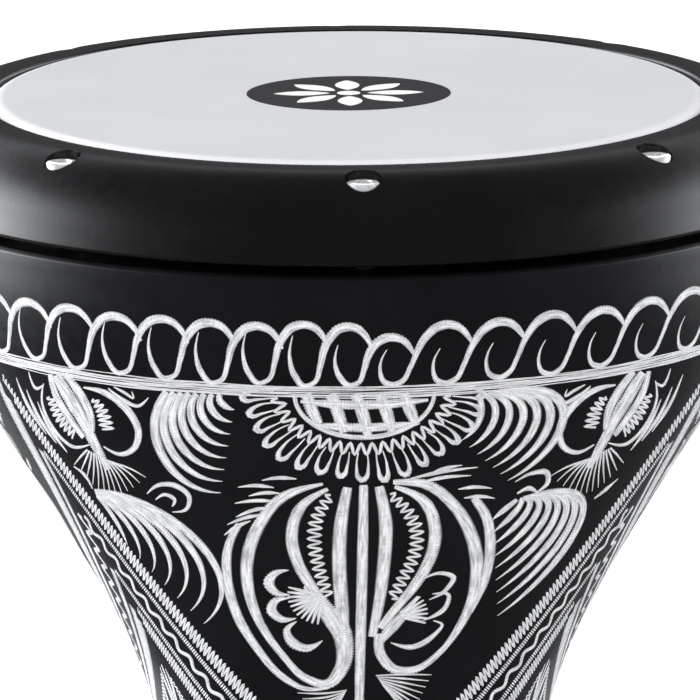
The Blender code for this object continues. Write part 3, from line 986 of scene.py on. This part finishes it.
def bolt_mesh():
    """An M6 socket cap screw with a cut thread. Z = 0 is under the head."""
    n = SCREW_SIDES
    angles = [2 * math.pi * k / n for k in range(n)]

    def ring(radii, z):
        return [(r * math.cos(a), r * math.sin(a), z) for r, a in zip(radii, angles)]

    def hex_ring(scale, z):
        half, side = math.radians(30), math.radians(60)
        return ring([SOCKET_CORNER * scale * math.cos(half) / math.cos(a % side - half) for a in angles], z)

    def thread_ring(z):
        turns = [(z / PITCH - k / n) % 1.0 for k in range(n)]
        return ring([THREAD_R - THREAD_DEPTH * abs(2 * turn - 1) for turn in turns], z)

    length = bolt_high.z - bolt_low.z - HEAD_TALL
    rows = round((length - 2 * TIP_BEVEL) / PITCH * THREAD_ROWS)
    rings = [ring([TIP_R] * n, -length)]
    rings += [thread_ring(-length + TIP_BEVEL + i * PITCH / THREAD_ROWS) for i in range(rows + 1)]
    rings += [ring([r] * n, z) for r, z in [(THREAD_R, 0.0), *HEAD_SIDE]]
    rings += [hex_ring(scale, z) for scale, z in SOCKET]
    verts = [v for row in rings for v in row]
    faces = [tuple(range(n - 1, -1, -1))]
    for start in range(0, len(verts) - n, n):
        for k in range(n):
            m = (k + 1) % n
            faces.append((start + k, start + m, start + n + m, start + n + k))
    faces.append(tuple(range(len(verts) - n, len(verts))))
    return verts, faces


def make_fasteners():
    verts, faces = bolt_mesh()
    corners = (HOLE_R, 0), (WASHER_R, 0), (WASHER_R, WASHER_THICK), (HOLE_R, WASHER_THICK)
    washer_side = eased(np.array(corners), True, 0.00015)
    for i in range(1, BOLTS + 1):
        x, y = bolt_axis(i)
        bolt = mesh_object(f"cap_screw_{i}", verts, faces, CHROME)
        # painted shade: faces below the head take the near-black thread material, so the shank in the gap
        # under the rim looks shaded
        bolt.data.materials.append(PAINTED_SHADE_THREAD)
        for face in bolt.data.polygons:
            face.material_index = int(face.center.z < 0)
        bolt.location = (x, y, bolt_high.z - HEAD_TALL)
        bolt.rotation_euler = (0, 0, 0.35 + 0.9 * i)  # every socket stands another way
        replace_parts(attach(bolt, f"tuning_bolt_{i}"), f"tuning_bolt_{i}")
        washer = turned(f"flat_washer_{i}", washer_side, True, WASHER_STEEL, 48)
        washer.location = (x, y, washer_low.z)
        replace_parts(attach(washer, "rim"), f"bolt_washer_{i}")


# -------- printed badge

BADGE_WIDE, BADGE_DEEP = 0.0315, 0.0285  # half the oval's width and depth
BADGE_Z = HEAD_Z + 0.00002
OVAL_THICK = 0.00004
LEAF_LOW, LEAF_HIGH = 0.00003, 0.00008  # a leaf's underside and top above the oval's underside
LEAF_COUNT = 8
LEAF_ROOT, LEAF_LONG, LEAF_WIDE = 0.0055, 0.0165, 0.0036


def plate(outline, low, high):
    """The corners and faces of a thin plate, from an outline of (x, y) points."""
    n = len(outline)
    verts = [(x, y, low) for x, y in outline] + [(x, y, high) for x, y in outline]
    faces = [tuple(range(n - 1, -1, -1)), tuple(range(n, 2 * n))]
    faces += [(i, (i + 1) % n, n + (i + 1) % n, n + i) for i in range(n)]
    return verts, faces


def badge_leaf(turn):
    """One leaf's outline, turned about the film's middle."""
    leaf = [(LEAF_ROOT + LEAF_LONG * t, LEAF_WIDE * math.sin(math.pi * t) ** 0.8)
            for t in np.linspace(0, 1, 15)]
    leaf += [(x, -y) for x, y in leaf[-2:0:-1]]
    cos, sin = math.cos(turn), math.sin(turn)
    return [((x * cos - y * sin) * 1.05, (x * sin + y * cos) * 0.95) for x, y in leaf]


def make_badge():
    """A printed black oval with a plain ring of leaves, lying on the film."""
    around = np.linspace(0, 2 * math.pi, 128, endpoint=False)
    oval = [(BADGE_WIDE * math.cos(a), BADGE_DEEP * math.sin(a)) for a in around]
    verts, faces = plate(oval, BADGE_Z, BADGE_Z + OVAL_THICK)
    disc = mesh_object("badge_disc", verts, faces, BLACK_INK, smooth=False)
    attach(disc, "head")
    outlines = [badge_leaf(2 * math.pi * k / LEAF_COUNT) for k in range(LEAF_COUNT)]
    outlines.append([(0.0036 * math.cos(a), 0.0034 * math.sin(a)) for a in around[::4]])
    verts, faces = [], []
    for outline in outlines:
        more, sides = plate(outline, BADGE_Z + LEAF_LOW, BADGE_Z + LEAF_HIGH)
        faces += [tuple(i + len(verts) for i in face) for face in sides]
        verts += more
    leaves = mesh_object("badge_leaves", verts, faces, WHITE_INK, smooth=False)
    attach(leaves, "head")


# -------- stage

TOP_SUN, FRONT_SUN = 2.4, 2.3
GLINT_POWER = 60
BACK_TO_FRONT = ((-0.75, 0.0), (-0.45, 0.03), (-0.25, 0.12), (0.0, 0.5), (0.25, 1.0), (0.7, 0.6), (0.93, 0.0))
LOW_TO_HIGH = ((-0.5, 0.0), (-0.37, 0.3), (-0.22, 0.85), (-0.08, 1.0), (0.3, 0.8), (0.58, 0.06), (0.75, 0.0))
LEFT_TO_RIGHT = ((-0.3, 1.0), (0.3, 0.45))
PANEL_GLOW = 13.0
ROOM_GLOW = 0.12


def make_floor():
    bpy.ops.mesh.primitive_plane_add(size=30, location=(0, 0, 0))
    floor = bpy.context.object
    floor.name = "floor"
    floor.data.materials.append(principled("floor_white", (0.97, 0.97, 0.97), 0.9)[0])
    floor.visible_glossy = False


def light(name, kind, spot, power, target=(0, 0, 0.3)):
    """A light at a spot, aimed at a target."""
    data = bpy.data.lights.new(name, kind)
    data.energy = power
    made = new_object(name, data)
    made.location = spot
    made.rotation_euler = (Vector(target) - made.location).to_track_quat("-Z", "Y").to_euler()
    return made


def soft_sun(name, spot, power, spread):
    """A very soft light from one side, which polished surfaces don't mirror."""
    made = light(name, "SUN", spot, power)
    made.data.angle = math.radians(spread)
    made.visible_glossy = False


def glint(pieces):
    """A panel behind the drum that only the bolts' heads mirror."""
    made = light("bolt_glint", "AREA", (0, 2.6, 1.05), GLINT_POWER, (0, 0, HEAD_Z))
    made.data.shape = "RECTANGLE"
    made.data.size, made.data.size_y = 3.2, 0.9
    group = bpy.data.collections.new("mirrors_glint")
    for piece in pieces:
        group.objects.link(piece)
    made.light_linking.receiver_collection = group


def make_world():
    """A dim room with a tall soft panel on each side, the left one brighter. The camera sees white."""
    world = bpy.data.worlds.new("studio")
    bpy.context.scene.world = world
    world.use_nodes = True
    graph = Graph(world.node_tree)
    split = graph.add("SeparateXYZ", {"Vector": graph.add("TexCoord").outputs["Generated"]}).outputs
    depth = graph.profile(split["Y"], BACK_TO_FRONT)
    height = graph.profile(split["Z"], LOW_TO_HIGH)
    side = graph.profile(split["X"], LEFT_TO_RIGHT)
    panels = graph.product(graph.product(depth, height), side)
    glow = graph.add("Math", {0: panels, 1: PANEL_GLOW, 2: ROOM_GLOW}, "MULTIPLY_ADD")
    soft = graph.add("Background", {"Color": (0.95, 0.975, 1.0, 1), "Strength": glow.outputs["Value"]})
    seen = graph.nodes["Background"]
    graph.feed(seen, {"Color": (1.0, 1.0, 1.0, 1)})
    by_camera = graph.add("LightPath").outputs["Is Camera Ray"]
    mix = graph.add("MixShader", {"Fac": by_camera, 1: soft.outputs["Background"],
                                  2: seen.outputs["Background"]})
    graph.feed(graph.nodes["World Output"], {"Surface": mix.outputs["Shader"]})


def make_light():
    make_world()
    soft_sun("top_light", (0, 0.4, 3), TOP_SUN, 80)
    soft_sun("front_light", (-0.4, -3, 0.75), FRONT_SUN, 50)
    glint([piece for piece in bpy.data.objects if piece.name.startswith("cap_screw")])


CAMERA_AZIMUTH = math.radians(-1.9)
CAMERA_RISE = math.radians(10.7)  # seen from the middle of the head
CAMERA_DISTANCE = 2.75
CAMERA_DIP = math.radians(12.35)  # how far the camera looks down
CAMERA_ROLL = math.radians(0.3)
CAMERA_LENS = 458.6


def make_camera():
    data = bpy.data.cameras.new("camera")
    data.lens = CAMERA_LENS
    data.sensor_width = 36
    data.clip_end = 100
    made = new_object("camera", data)
    flat = math.cos(CAMERA_RISE)
    away = Vector((math.sin(CAMERA_AZIMUTH) * flat, -math.cos(CAMERA_AZIMUTH) * flat, math.sin(CAMERA_RISE)))
    turn = (Matrix.Rotation(CAMERA_AZIMUTH, 3, "Z") @ Matrix.Rotation(math.pi / 2 - CAMERA_DIP, 3, "X")
            @ Matrix.Rotation(-CAMERA_ROLL, 3, "Z"))
    made.location = Vector((0, 0, HEAD_Z)) + away * CAMERA_DISTANCE
    made.rotation_euler = turn.to_euler()
    bpy.context.scene.camera = made
    bpy.context.scene.view_settings.view_transform = "Standard"


make_camera()
make_floor()
make_shell()
make_head()
make_rim()
make_fasteners()
make_badge()
engrave_rings()
engrave_panels()
make_light()
